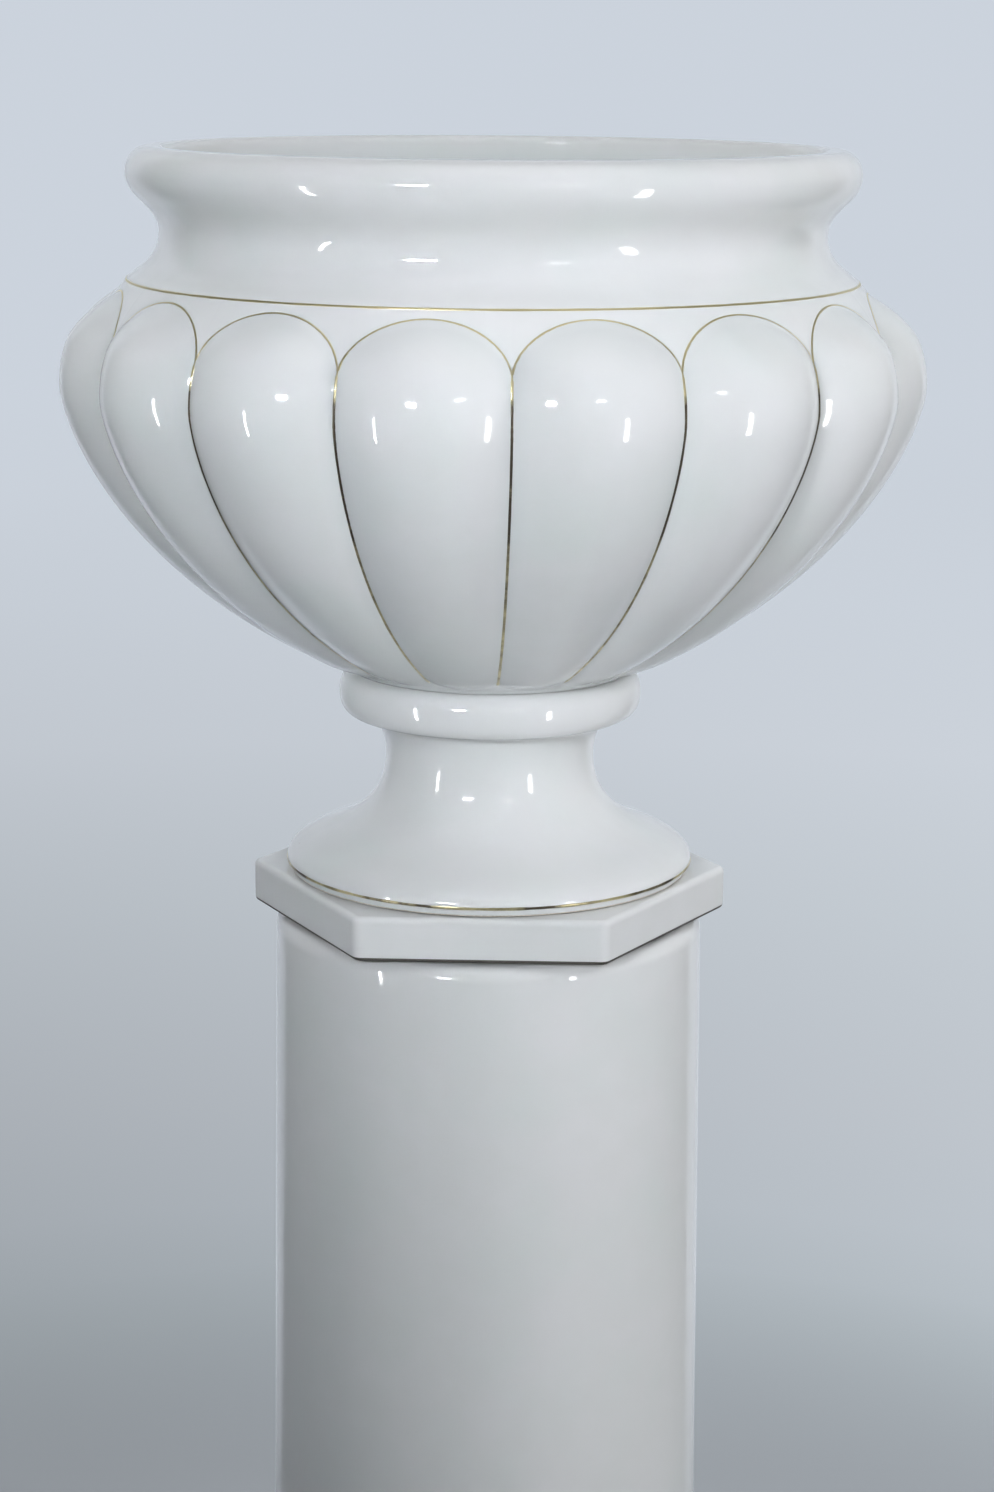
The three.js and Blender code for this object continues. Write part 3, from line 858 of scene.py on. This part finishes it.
def floor():
    """A wide disc. Away from the object it fades into the backdrop, for the camera, and
    behind the object for mirrors too."""
    a = np.linspace(0, 2 * math.pi, FLOOR_SIDES, endpoint=False)
    rings = [np.stack([r * np.cos(a), r * np.sin(a), 0 * a], 1) / MM for r in FLOOR_RINGS]
    disc = loft("floor", np.array(rings), closed=False)
    centre = make("floor_centre", rings[0], [list(range(FLOOR_SIDES))])
    m, tree, shader = material("floor_paint")
    where = places(tree)
    away = vector(tree, "LENGTH", where).outputs["Value"]
    right, back, _ = parts(tree, vector(tree, "NORMALIZE", where).outputs[0])
    patch = ramp(tree, noise(tree, where, 1.6, 4.0), 0.3, 0.7, 0.0, 0.5)
    seen = tree.nodes.new("ShaderNodeLightPath").outputs["Is Camera Ray"]
    paint = blend(tree, patch, PAINT, PAINT_PATCH)
    paint_seen = blend(tree, patch, PAINT_SEEN, PAINT_SEEN_PATCH)
    tree.links.new(blend(tree, seen, paint, paint_seen), shader.inputs["Base Color"])
    shader.inputs["Roughness"].default_value = 0.9
    shader.inputs["Specular IOR Level"].default_value = 0.2
    glow = tree.nodes.new("ShaderNodeEmission")
    # For the camera the glow carries the floor's painted shade.
    tone = blend(tree, seen, BACKDROP, floor_tone(tree, away, right))
    tree.links.new(tone, glow.inputs["Color"])
    fading = sees_backdrop(tree, ramp(tree, back, *WALL_EDGE))
    mix = tree.nodes.new("ShaderNodeMixShader")
    out = next(n for n in tree.nodes if n.type == "OUTPUT_MATERIAL")
    tree.links.new(times(tree, fading, ramp(tree, away, 0.45, 1.1)), mix.inputs[0])
    tree.links.new(shader.outputs[0], mix.inputs[1])
    tree.links.new(glow.outputs[0], mix.inputs[2])
    tree.links.new(mix.outputs[0], out.inputs["Surface"])
    for obj in (disc, centre):
        obj.data.materials.append(m)


# ---- World ---------------------------------------------------------------------------

# Radiance and colour of the room: the wall behind the object, both sides between that wall
# and the photographer, the photographer's end, and what is above.
ROOM = {
    "above": (0.03, (0.975, 1.0, 1.02)),
    "wall": (0.85, (0.92, 1.0, 1.10)),
    "left": (0.17, (0.95, 1.0, 1.06)),
    "right": (0.46, (0.97, 1.0, 1.04)),
    "front": (0.02, (0.96, 1.0, 1.05)),
}


def fork(tree, value, low, high):
    """The share past a ramp, and the share before it."""
    return ramp(tree, value, low, high), ramp(tree, value, low, high, 1.0, 0.0)


def world():
    """The room lights the object. The camera sees the backdrop in its place, and so do
    mirrors and glass towards the wall."""
    w = bpy.data.worlds.new("studio")
    bpy.context.scene.world = w
    w.use_nodes = True
    tree = w.node_tree
    background = next(n for n in tree.nodes if n.type == "BACKGROUND")
    direction = places(tree, "Generated")
    level_direction = vector(tree, "MULTIPLY", direction, (1, 1, 0)).outputs[0]
    x, y, _ = parts(tree, vector(tree, "NORMALIZE", level_direction).outputs[0])
    above, level = fork(tree, parts(tree, direction)[2], 0.1, 0.9)
    wall, beside = fork(tree, y, *WALL_EDGE)
    side, front = fork(tree, y, -0.6, 0.2)
    right, left = fork(tree, x, -0.2, 0.2)
    shares = {
        "above": above,
        "wall": times(tree, level, wall),
        "left": times(tree, level, beside, side, left),
        "right": times(tree, level, beside, side, right),
        "front": times(tree, level, front),
    }
    light = None
    for name, share in shares.items():
        radiance, colour = ROOM[name]
        part = vector(tree, "SCALE", tuple(c * radiance for c in colour), scale=share).outputs[0]
        light = part if light is None else vector(tree, "ADD", light, part).outputs[0]
    seen = sees_backdrop(tree, level, wall)
    tree.links.new(blend(tree, seen, light, BACKDROP), background.inputs["Color"])
    background.inputs["Strength"].default_value = 1.0


# ---- Lamps ---------------------------------------------------------------------------

DAYLIGHT = (0.97, 1.0, 1.07)


def lamp(name, azimuth, distance, height, size, radiance, aim=0.92, spread=180,
         mirrored=True, lights=True, colour=(1, 1, 1)):
    """An oblong lamp that faces the object's axis at the height aim. Azimuth is in degrees
    from -Y towards +X, radiance is what a mirror would show, and spread is the width of its
    beam. A lamp that isn't mirrored is only fill, and one that doesn't light is only a
    glint."""
    half = math.radians(spread) / 2
    beam = 1 - half / math.tan(half) if spread < 180 else 1.0
    data = bpy.data.lights.new(name, "AREA")
    data.shape = "RECTANGLE"
    data.size, data.size_y = size
    data.energy = radiance * math.pi * size[0] * size[1] * beam
    data.spread = math.radians(spread)
    data.color = colour
    obj = bpy.data.objects.new(name, data)
    a = math.radians(azimuth)
    obj.location = (distance * math.sin(a), -distance * math.cos(a), height)
    back = obj.location - Vector((0, 0, aim))
    obj.rotation_euler = back.to_track_quat("Z", "Y").to_euler()
    obj.visible_camera = False
    obj.visible_glossy, obj.visible_diffuse = mirrored, lights
    bpy.context.scene.collection.objects.link(obj)


floor()
world()
lamp("tall_right", 46, 1.55, 0.67, (0.11, 0.58), 28.0, aim=0.67)
lamp("thin_left", -54, 1.50, 0.62, (0.036, 0.62), 80.0, aim=0.62, lights=False)
lamp("small_left", -21, 2.30, 1.46, (0.34, 0.13), 217.0, aim=0.87, spread=32, colour=DAYLIGHT)
lamp("dash_right", 23, 2.30, 1.60, (0.36, 0.035), 60.0, lights=False)
lamp("front_fill", 20, 2.30, 1.60, (0.30, 0.30), 44.0, aim=0.88, spread=34, mirrored=False,
     colour=DAYLIGHT)
lamp("side_fill", 80, 1.90, 1.90, (0.50, 0.50), 16.0, aim=0.80, spread=60, mirrored=False,
     colour=(0.98, 1.0, 1.05))
lamp("left_fill", -95, 1.90, 1.80, (0.50, 0.50), 13.0, aim=1.00, spread=40, mirrored=False)
lamp("back_right", 140, 2.30, 1.90, (0.9, 0.9), 6.0, aim=0.55, spread=90, mirrored=False)
lamp("back_left", -145, 2.30, 1.90, (0.9, 0.9), 5.0, aim=0.55, spread=90, mirrored=False)
lamp("overhead", 20, 0.55, 3.10, (2.2, 2.2), 0.75)

# ---- Camera --------------------------------------------------------------------------

# The camera is fitted to the photo's outlines. Its place is from the middle of the plinth's
# underside, in a unit that is about one pixel there. The frame and the focal length are in
# pixels, and the sensor in millimetres.
PHOTO_HEIGHT, FOCAL_LENGTH, SENSOR = 1492, 3020.93, 36.0
UNIT = 0.5212 * MM
CAMERA_RIGHT, CAMERA_BACK, CAMERA_UP = 7.145, 2897.656, 844.8174
PITCH, ROLL, ROUND = 0.230939, 0.00773, math.radians(1.9)


def camera():
    data = bpy.data.cameras.new("camera")
    data.sensor_width = SENSOR
    data.sensor_fit = "AUTO"
    data.lens = FOCAL_LENGTH * SENSOR / PHOTO_HEIGHT
    data.clip_end = 200.0
    obj = bpy.data.objects.new("camera", data)
    height = CAMERA_UP * UNIT + PLINTH_BOTTOM * MM
    place = Vector((CAMERA_RIGHT * UNIT, -CAMERA_BACK * UNIT, height))
    turn = Matrix.Rotation(ROUND, 4, "Z")
    tilt = Matrix.Rotation(math.pi / 2 - PITCH, 4, "X")
    roll = Matrix.Rotation(ROLL, 4, "Z")
    obj.matrix_world = turn @ Matrix.Translation(place) @ tilt @ roll
    bpy.context.scene.collection.objects.link(obj)
    bpy.context.scene.camera = obj


camera()
bpy.context.scene.view_settings.view_transform = "Standard"
